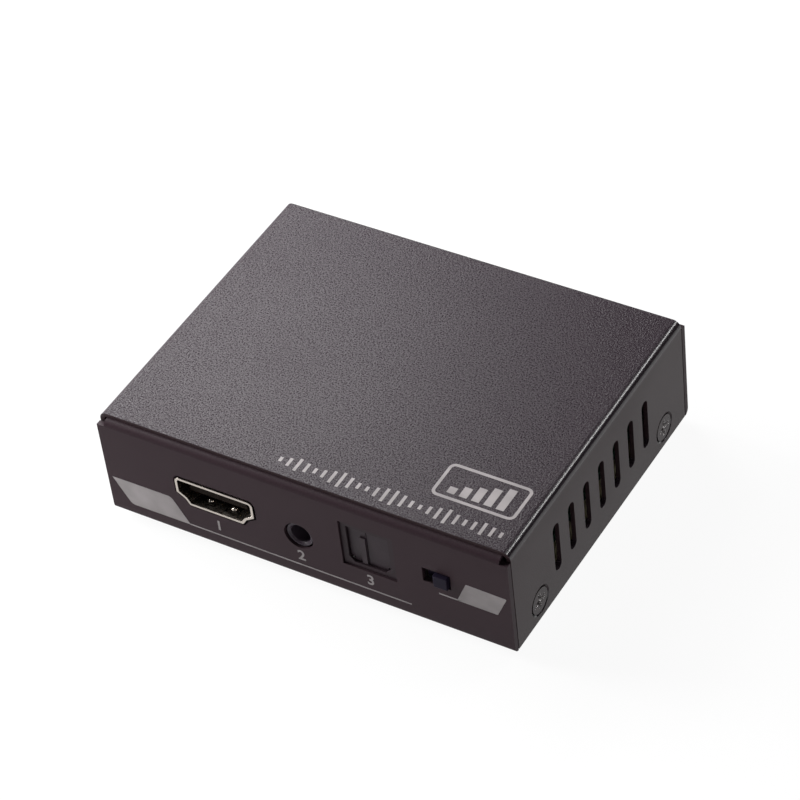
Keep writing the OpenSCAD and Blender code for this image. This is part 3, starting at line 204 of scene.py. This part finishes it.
def coat(name, color, side_painted_light, grain_mm, depth_mm, roughness, contrast, specular, sparkle,
         bend_roughness, bend_specular):
    """Powder coat of small lumps, whose color and gloss vary from lump to lump.

    contrast is how far the color varies and sparkle how far the gloss does, as shares. Down the upright
    sides the coat takes another color, a painted tone for how the light falls on them, and over a bend
    it has its own roughness and gloss.
    """
    material, tree, shader = new_material(name)
    lumps = noise(tree, grain_mm, 2.0, 0.55)
    drift = noise(tree, DRIFT_MM, 2.0)
    bend, side = face_shares(tree)
    tint = two_colors(tree, lumps, shade(color, 1 - contrast), shade(color, 1 + contrast))
    # Painted light: the upright sides are mixed to a color of their own, a tone painted for how the
    # light falls on them
    sides = tree.nodes.new("ShaderNodeMix")
    sides.data_type = "RGBA"
    tree.links.new(side, sides.inputs["Factor"])
    tree.links.new(tint, sides.inputs["A"])
    sides.inputs["B"].default_value = (*side_painted_light, 1)
    tree.links.new(sides.outputs["Result"], shader.inputs["Base Color"])
    level = map_range(tree, drift, roughness - 0.02, roughness + 0.02)
    tree.links.new(blend(tree, bend, level, bend_roughness), shader.inputs["Roughness"])
    gloss = map_range(tree, lumps, specular * (1 - sparkle), specular * (1 + sparkle), 0.35, 0.65)
    quiet = blend(tree, side, gloss, specular * SIDE_GLOSS)
    tree.links.new(blend(tree, bend, quiet, bend_specular), shader.inputs["Specular IOR Level"])
    grain = blend(tree, side, blend(tree, bend, 1, BEND_GRAIN), SIDE_GRAIN)
    tree.links.new(bump(tree, lumps, depth_mm, grain), shader.inputs["Normal"])
    return material


def plastic(name, color, roughness, grain_mm=0.25, depth_mm=0.006, specular=0.5):
    material, tree, shader = new_material(name)
    grain = noise(tree, grain_mm, 3.0, 0.6)
    drift = noise(tree, 4.0, 2.0)
    tint = two_colors(tree, drift, shade(color, 0.88), shade(color, 1.12))
    tree.links.new(tint, shader.inputs["Base Color"])
    tree.links.new(map_range(tree, grain, roughness - 0.05, roughness + 0.05),
                   shader.inputs["Roughness"])
    tree.links.new(bump(tree, grain, depth_mm), shader.inputs["Normal"])
    shader.inputs["Specular IOR Level"].default_value = specular
    return material


def metal(name, color, roughness, grain_mm=0.6, depth_mm=0.002, tarnish=0.12):
    material, tree, shader = new_material(name)
    grain = noise(tree, grain_mm, 4.0, 0.65)
    drift = noise(tree, 3.0, 2.0)
    tint = two_colors(tree, drift, shade(color, 1 - tarnish), color)
    tree.links.new(tint, shader.inputs["Base Color"])
    tree.links.new(map_range(tree, grain, roughness * 0.75, roughness * 1.35),
                   shader.inputs["Roughness"])
    tree.links.new(bump(tree, grain, depth_mm), shader.inputs["Normal"])
    shader.inputs["Metallic"].default_value = 1.0
    return material


def board_mask(name, color, copper):
    """Solder mask over fine copper tracks, which show as paler lines."""
    material, tree, shader = new_material(name)
    tracks = tree.nodes.new("ShaderNodeTexBrick")
    tracks.inputs["Scale"].default_value = 1 / (5 * MM)
    tracks.inputs["Mortar Size"].default_value = 0.05
    tracks.inputs["Color1"].default_value = (*color, 1)
    tracks.inputs["Color2"].default_value = (*shade(color, 1.15), 1)
    tracks.inputs["Mortar"].default_value = (*copper, 1)
    tree.links.new(object_coordinates(tree), tracks.inputs["Vector"])
    tree.links.new(tracks.outputs["Color"], shader.inputs["Base Color"])
    tree.links.new(bump(tree, tracks.outputs["Fac"], 0.02), shader.inputs["Normal"])
    shader.inputs["Roughness"].default_value = 0.35
    return material


def lamp_resin(name, color):
    material, tree, shader = new_material(name)
    haze = noise(tree, 0.8, 2.0)
    tint = two_colors(tree, haze, shade(color, 0.94), color)
    tree.links.new(tint, shader.inputs["Base Color"])
    tree.links.new(map_range(tree, haze, 0.08, 0.16), shader.inputs["Roughness"])
    shader.inputs["Transmission Weight"].default_value = 0.6
    shader.inputs["IOR"].default_value = 1.5
    return material


def make_materials():
    """One material for each material slot of the record."""
    return {
        # The second color of each coat is a painted tone for the light on its upright sides, not a
        # color of its own
        "tray_paint": coat("panel_coat", (0.028, 0.0172, 0.0215), (0.029, 0.0165, 0.021),
                            0.34, 0.012, 0.5, 0.1, 0.14, 0.2, 0.4, 0.07),
        "cover_paint": coat("cover_coat", (0.024, 0.0172, 0.022), (0.03, 0.0178, 0.0205),
                            0.26, 0.09, 0.38, 0.2, 0.18, 1.0, 0.2, 0.55),
        "black_screw": plastic("screw_black", (0.03, 0.018, 0.021), 0.3, 0.3, 0.004, 0.11),
        "foot_rubber": plastic("rubber", (0.018, 0.018, 0.018), 0.8, 0.2, 0.02, 0.3),
        "plated_steel": metal("zinc_plate", (0.62, 0.62, 0.6), 0.35),
        "port_plating": metal("nickel_plate", (0.52, 0.47, 0.425), 0.24, 0.8),
        "contact_gold": metal("gold_plate", (0.86, 0.62, 0.26), 0.22),
        "tinned_metal": metal("tin_plate", (0.7, 0.7, 0.68), 0.3),
        "board_green": board_mask("solder_mask", (0.004, 0.025, 0.013), (0.01, 0.05, 0.026)),
        "insulator_black": plastic("insulator_black", (0.012, 0.008, 0.006), 0.6, 0.25, 0.006, 0.04),
        "jack_plastic": plastic("jack_black", (0.034, 0.025, 0.034), 0.34, 0.3, 0.004, 0.18),
        "optical_plastic": plastic("optical_black", (0.027, 0.018, 0.022), 0.46, 0.25, 0.006, 0.1),
        "door_plastic": plastic("door_black", (0.03, 0.021, 0.026), 0.42, 0.25, 0.006, 0.12),
        "knob_plastic": plastic("knob_black", (0.012, 0.009, 0.019), 0.45, 0.25, 0.006, 0.05),
        "base_laminate": plastic("brown_laminate", (0.16, 0.08, 0.035), 0.6),
        "sheet_film": plastic("cream_film", (0.62, 0.56, 0.36), 0.35),
        "chip_black": plastic("chip_epoxy", (0.02, 0.02, 0.022), 0.6, 0.15, 0.01),
        "pad_grey": plastic("grey_pad", (0.32, 0.35, 0.38), 0.8, 0.5, 0.02),
        "sink_aluminium": metal("sink_aluminium", (0.72, 0.72, 0.73), 0.38),
        "can_aluminium": metal("can_aluminium", (0.8, 0.8, 0.8), 0.22),
        "ferrite": plastic("ferrite", (0.045, 0.045, 0.05), 0.7, 0.3, 0.02),
        "ceramic": plastic("ceramic", (0.2, 0.14, 0.09), 0.5),
        "emitter_clear": plastic("emitter_resin", (0.05, 0.05, 0.06), 0.2),
        "lamp_resin": lamp_resin("lamp_resin", (0.8, 0.84, 0.88)),
        "printed_ink": plastic("printed_ink", (0.228, 0.21, 0.212), 0.55, 0.4, 0.02, 0.15),
    }


def paint(obj, material):
    obj.data.materials.clear()
    obj.data.materials.append(material)


def paint_frame(materials):
    for name, obj in nodes.items():
        paint(obj, materials[slot_of(name)])


# Stage

# Share of the floor that is plain white to the camera: the rest keeps the shadow of the case
FLOOR_WHITE_SHARE = 0.93


def add_floor():
    size = 3.0
    mesh = bpy.data.meshes.new("floor")
    corners = [(-size, -size, 0), (size, -size, 0), (size, size, 0), (-size, size, 0)]
    mesh.from_pydata(corners, [], [(0, 1, 2, 3)])
    floor = bpy.data.objects.new("floor", mesh)
    bpy.context.scene.collection.objects.link(floor)
    material, tree, shader = new_material("floor_white")
    shader.inputs["Base Color"].default_value = (0.86, 0.86, 0.86, 1)
    shader.inputs["Roughness"].default_value = 0.9
    shader.inputs["Specular IOR Level"].default_value = 0.0
    white = tree.nodes.new("ShaderNodeEmission")
    white.inputs["Color"].default_value = (1, 1, 1, 1)
    rays = tree.nodes.new("ShaderNodeLightPath")
    seen = rays.outputs["Is Camera Ray"]
    for ray in ("Is Glossy Ray", "Is Transmission Ray"):
        either = tree.nodes.new("ShaderNodeMath")
        either.operation = "MAXIMUM"
        tree.links.new(seen, either.inputs[0])
        tree.links.new(rays.outputs[ray], either.inputs[1])
        seen = either.outputs[0]
    share = tree.nodes.new("ShaderNodeMath")
    share.operation = "MULTIPLY"
    share.inputs[1].default_value = FLOOR_WHITE_SHARE
    tree.links.new(seen, share.inputs[0])
    mix = tree.nodes.new("ShaderNodeMixShader")
    tree.links.new(share.outputs[0], mix.inputs["Fac"])
    tree.links.new(shader.outputs["BSDF"], mix.inputs[1])
    tree.links.new(white.outputs["Emission"], mix.inputs[2])
    tree.links.new(mix.outputs["Shader"], tree.nodes["Material Output"].inputs["Surface"])
    paint(floor, material)


def add_world():
    world = bpy.data.worlds.new("studio")
    bpy.context.scene.world = world
    world.use_nodes = True
    background = world.node_tree.nodes["Background"]
    background.inputs["Color"].default_value = (1, 1, 1, 1)
    background.inputs["Strength"].default_value = WORLD_STRENGTH


def add_area_light(name, direction, distance_mm, width_mm, height_mm, watts):
    """A soft box that stands off in a direction and faces the case."""
    data = bpy.data.lights.new(name, "AREA")
    data.shape = "RECTANGLE"
    data.size = width_mm * MM
    data.size_y = height_mm * MM
    data.energy = watts
    light = bpy.data.objects.new(name, data)
    out = Vector(direction).normalized()
    light.location = out * distance_mm * MM
    light.rotation_euler = out.to_track_quat("Z", "Y").to_euler()
    bpy.context.scene.collection.objects.link(light)


WORLD_STRENGTH = 0.03

# Name, direction, distance, width, height and power: millimetres and watts
LIGHTS = [
    ("back_left_high", (-0.496, 0.511, 0.704), 274, 110, 110, 0.42),
    ("back_left_near", (-0.62, 0.36, 0.66), 240, 110, 110, 0.22),
    ("left_wide", (-1.0, -0.1, 0.5), 400, 250, 250, 4.8),
    ("back_right_strip", (0.46, 0.6, 0.64), 450, 240, 30, 0.5),
    ("front_spot", (0.45, -0.75, 0.6), 600, 40, 40, 0.3),
]


# Printed marks: thin plates of ink on a face of the case

def corner_arc(before, corner, after, radius, steps=8):
    """Points of a round corner, or the corner itself where the radius is nil."""
    if radius <= 0:
        return [corner]
    a = (Vector(before) - Vector(corner)).normalized()
    b = (Vector(after) - Vector(corner)).normalized()
    half = a.angle(b) / 2
    start = Vector(corner) + a * radius / math.tan(half)
    end = Vector(corner) + b * radius / math.tan(half)
    centre = Vector(corner) + (a + b).normalized() * radius / math.sin(half)
    first = math.atan2(start.y - centre.y, start.x - centre.x)
    sweep = math.atan2(end.y - centre.y, end.x - centre.x) - first
    sweep = (sweep + math.pi) % (2 * math.pi) - math.pi
    return [(centre.x + radius * math.cos(first + sweep * i / steps),
             centre.y + radius * math.sin(first + sweep * i / steps)) for i in range(steps + 1)]


def rounded(corners, radii):
    """Outline with each corner rounded by its own radius."""
    count = len(corners)
    points = []
    for i, corner in enumerate(corners):
        points += corner_arc(corners[i - 1], corner, corners[(i + 1) % count], radii[i])
    return points


def link_mesh(name, bm):
    mesh = bpy.data.meshes.new(name)
    bmesh.ops.recalc_face_normals(bm, faces=bm.faces)
    bm.to_mesh(mesh)
    bm.free()
    obj = bpy.data.objects.new(name, mesh)
    bpy.context.scene.collection.objects.link(obj)
    return obj


def plate(bm, outline, place, hole=None):
    """Adds a flat plate of ink: place() turns a point of the outline and a height into a position."""
    def ring(points, height):
        return [bm.verts.new(place(x * MM, y * MM, height)) for x, y in points]
    low = ring(outline, 0)
    high = ring(outline, PRINT_T)
    loops = [(low, high)]
    if hole:
        inner_low = ring(hole, 0)
        inner_high = ring(hole, PRINT_T)
        loops.append((inner_low, inner_high))
        for outer, inner in ((low, inner_low), (high, inner_high)):
            for i in range(len(outer)):
                k = (i + 1) % len(outer)
                bm.faces.new((outer[i], outer[k], inner[k], inner[i]))
    else:
        bm.faces.new(high)
        bm.faces.new(list(reversed(low)))
    for bottom, top in loops:
        for i in range(len(bottom)):
            k = (i + 1) % len(bottom)
            bm.faces.new((bottom[i], bottom[k], top[k], top[i]))


def on_front(x, z, height):
    return (x, FRONT_Y - height, TRAY_Z + z)


def on_rear(x, z, height):
    return (-x, REAR_Y + height, TRAY_Z + z)


def on_top(x, y, height):
    return (x, FRONT_Y + y, TOP_Z + height)


def printed(name, outlines, place, ink, holes=None):
    """A piece of print made of one plate for each outline."""
    bm = bmesh.new()
    for i, outline in enumerate(outlines):
        plate(bm, outline, place, holes[i] if holes else None)
    obj = link_mesh(name, bm)
    paint(obj, ink)
    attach(obj, "case")
    return obj


def stripe(x0, x1, y, width):
    return [(x0, y - width / 2), (x1, y - width / 2), (x1, y + width / 2), (x0, y + width / 2)]


# Thickening of a numeral's strokes, as a share of its height
NUMERAL_WEIGHT = 0.025


def numeral(name, text, centre, height_mm, place, ink):
    """A plain numeral, laid on a face by the same place() as the plates."""
    curve = bpy.data.curves.new(name, "FONT")
    curve.body = text
    curve.align_x = "CENTER"
    curve.align_y = "CENTER"
    curve.size = height_mm * MM / 0.7
    curve.resolution_u = 6
    curve.extrude = PRINT_T / 2
    curve.offset = NUMERAL_WEIGHT * height_mm * MM
    source = bpy.data.objects.new(name, curve)
    bpy.context.scene.collection.objects.link(source)
    graph = bpy.context.evaluated_depsgraph_get()
    mesh = bpy.data.meshes.new_from_object(source.evaluated_get(graph))
    bpy.data.objects.remove(source)
    for v in mesh.vertices:
        v.co = place(v.co.x + centre[0] * MM, v.co.y + centre[1] * MM, v.co.z + PRINT_T / 2)
    obj = bpy.data.objects.new(name, mesh)
    bpy.context.scene.collection.objects.link(obj)
    paint(obj, ink)
    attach(obj, "case")
    return obj


def add_front_print(ink):
    band = rounded([(-37.3, 8.05), (-34.2, 2.85), (-22.55, 2.95), (-25.6, 8.1)], [0, 1.2, 0, 1.2])
    printed("output_band", [band], on_front, ink)
    printed("output_rule", [stripe(-22.7, 19.65, 3.02, 0.28)], on_front, ink)
    label = rounded([(28.4, 7.95), (35.7, 7.9), (37.6, 12.2), (30.3, 12.3)], [0.2, 0.2, 0.2, 0.2])
    printed("switch_label", [label], on_front, ink)
    printed("switch_rule", [stripe(25.15, 29.0, 8.05, 0.28)], on_front, ink)
    for text, x in (("1", -16.6), ("2", -0.7), ("3", 12.3)):
        numeral("front_numeral_" + text, text, (x, 5.15), 2.1, on_front, ink)


def add_rear_print(ink):
    for text, x in (("4", -14), ("5", 21)):
        numeral("rear_numeral_" + text, text, (x, 5.15), 2.1, on_rear, ink)


# Rising bars in the frame on the cover, and the heights of the row of thin bars before it
LEVEL_BARS = 5
ROW_SHARES = [0.3, 0.55, 0.85, 0.6, 0.35, 0.5, 0.8, 1.0, 0.7, 0.4, 0.3, 0.6, 0.9, 1.0, 0.75, 0.45,
              0.3, 0.5, 0.75, 0.95, 0.65, 0.4, 0.55, 0.8, 0.6, 0.35]


def bar(x, y, width, height):
    left = x - width / 2
    right = x + width / 2
    return [(left, y), (right, y), (right, y + height), (left, y + height)]


def add_top_print(ink):
    outer = rounded([(20.25, 7.6), (35.25, 7.6), (35.25, 15.1), (20.25, 15.1)], [1.2] * 4)
    inner = rounded([(20.8, 8.15), (34.7, 8.15), (34.7, 14.55), (20.8, 14.55)], [0.65] * 4)
    printed("top_frame", [outer], on_top, ink, [inner])
    levels = [bar(23.35 + 2.2 * i, 8.9, 1.4, 1.4 + 0.85 * i) for i in range(LEVEL_BARS)]
    printed("top_levels", levels, on_top, ink)
    row = []
    for i, share in enumerate(ROW_SHARES):
        height = 3.3 * share
        row.append(bar(-5.0 + 1.6 * i, 4.25 - height / 2, 0.55, height))
    printed("top_row", row, on_top, ink)


# Softened copies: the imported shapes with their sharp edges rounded, as paint and moulding leave them

# Node: radius of its edges in millimetres
SOFT_EDGES = {
    "tray": 0.1,
    "cover": 0.12,
    "cover_screws": 0.06,
    "rubber_feet": 0.2,
    "video_out_shell": 0.08,
    "video_in_shell": 0.08,
    "audio_jack_body": 0.12,
    "optical_housing": 0.08,
    "optical_left_door": 0.06,
    "optical_right_door": 0.06,
    "source_switch_slider": 0.12,
    "mode_switch_slider": 0.12,
    "power_jack_body": 0.12,
}


def body_of(node):
    for body, members in frame["record"]["behaviour"]["bodies"].items():
        if node in members:
            return body


def slot_of(node):
    for subpart in frame["record"]["subparts"]:
        if subpart["node"] == node:
            return subpart["material_slot"]


# Case screws: places of their axes, size of their heads, width of the groove round each head, and how
# far its worn cross reaches
SCREW_Y = 21.7 * MM
SCREW_Z = 5.4 * MM
HEAD_RADIUS = 2.75 * MM
RIM_GROOVE = 0.36 * MM
WORN_RADIUS = 1.56 * MM
WORN_DEPTHS = (0.1 * MM, 1.2 * MM)
screw_face_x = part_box("cover_screws")[1].x


def in_recess(point):
    """1 for a point on the walls of a case screw's cross, and 0 elsewhere."""
    depth = screw_face_x - abs(point.x)
    radius = math.hypot(abs(point.y) - SCREW_Y, point.z - SCREW_Z)
    return int(radius < WORN_RADIUS and WORN_DEPTHS[0] < depth < WORN_DEPTHS[1])


def draw_in_rims(bm):
    """Draws the rims of the case screws' heads in, so that a groove shows round each head."""
    for vert in bm.verts:
        axis = Vector((vert.co.x, math.copysign(SCREW_Y, vert.co.y), SCREW_Z))
        off = vert.co - axis
        if screw_face_x - abs(vert.co.x) < 0.05 * MM and off.length > HEAD_RADIUS - 0.05 * MM:
            vert.co = axis + off * (1 - RIM_GROOVE / HEAD_RADIUS)


def add_soft_copy(node, radius_mm, material, worn=None):
    source = nodes[node]
    bm = bmesh.new()
    bm.from_mesh(source.data)
    bmesh.ops.remove_doubles(bm, verts=bm.verts, dist=0.002 * MM)
    bmesh.ops.dissolve_limit(bm, angle_limit=math.radians(1.5), verts=bm.verts, edges=bm.edges)
    for face in bm.faces:
        face.smooth = True
    if worn:
        draw_in_rims(bm)
        for face in bm.faces:
            face.material_index = in_recess(face.calc_center_median())
    mesh = bpy.data.meshes.new(node + "_soft")
    bm.to_mesh(mesh)
    bm.free()
    mesh.set_sharp_from_angle(angle=math.radians(28))
    obj = bpy.data.objects.new(node + "_soft", mesh)
    bpy.context.scene.collection.objects.link(obj)
    edge = obj.modifiers.new("edge", "BEVEL")
    edge.width = radius_mm * MM
    edge.segments = 2
    edge.limit_method = "ANGLE"
    edge.angle_limit = math.radians(40)
    edge.use_clamp_overlap = True
    edge.harden_normals = True
    obj.data.materials.append(material)
    if worn:
        obj.data.materials.append(worn)
    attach(obj, body_of(node))
    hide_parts(node)


add_camera()
add_world()
for light in LIGHTS:
    add_area_light(*light)
add_floor()
materials = make_materials()
paint_frame(materials)
add_front_print(materials["printed_ink"])
add_top_print(materials["printed_ink"])
add_rear_print(materials["printed_ink"])
worn_steel = metal("worn_steel", (0.75, 0.73, 0.73), 0.42)
for node, radius_mm in SOFT_EDGES.items():
    worn = worn_steel if node == "cover_screws" else None
    add_soft_copy(node, radius_mm, materials[slot_of(node)], worn)

bpy.context.scene.view_settings.view_transform = "Standard"
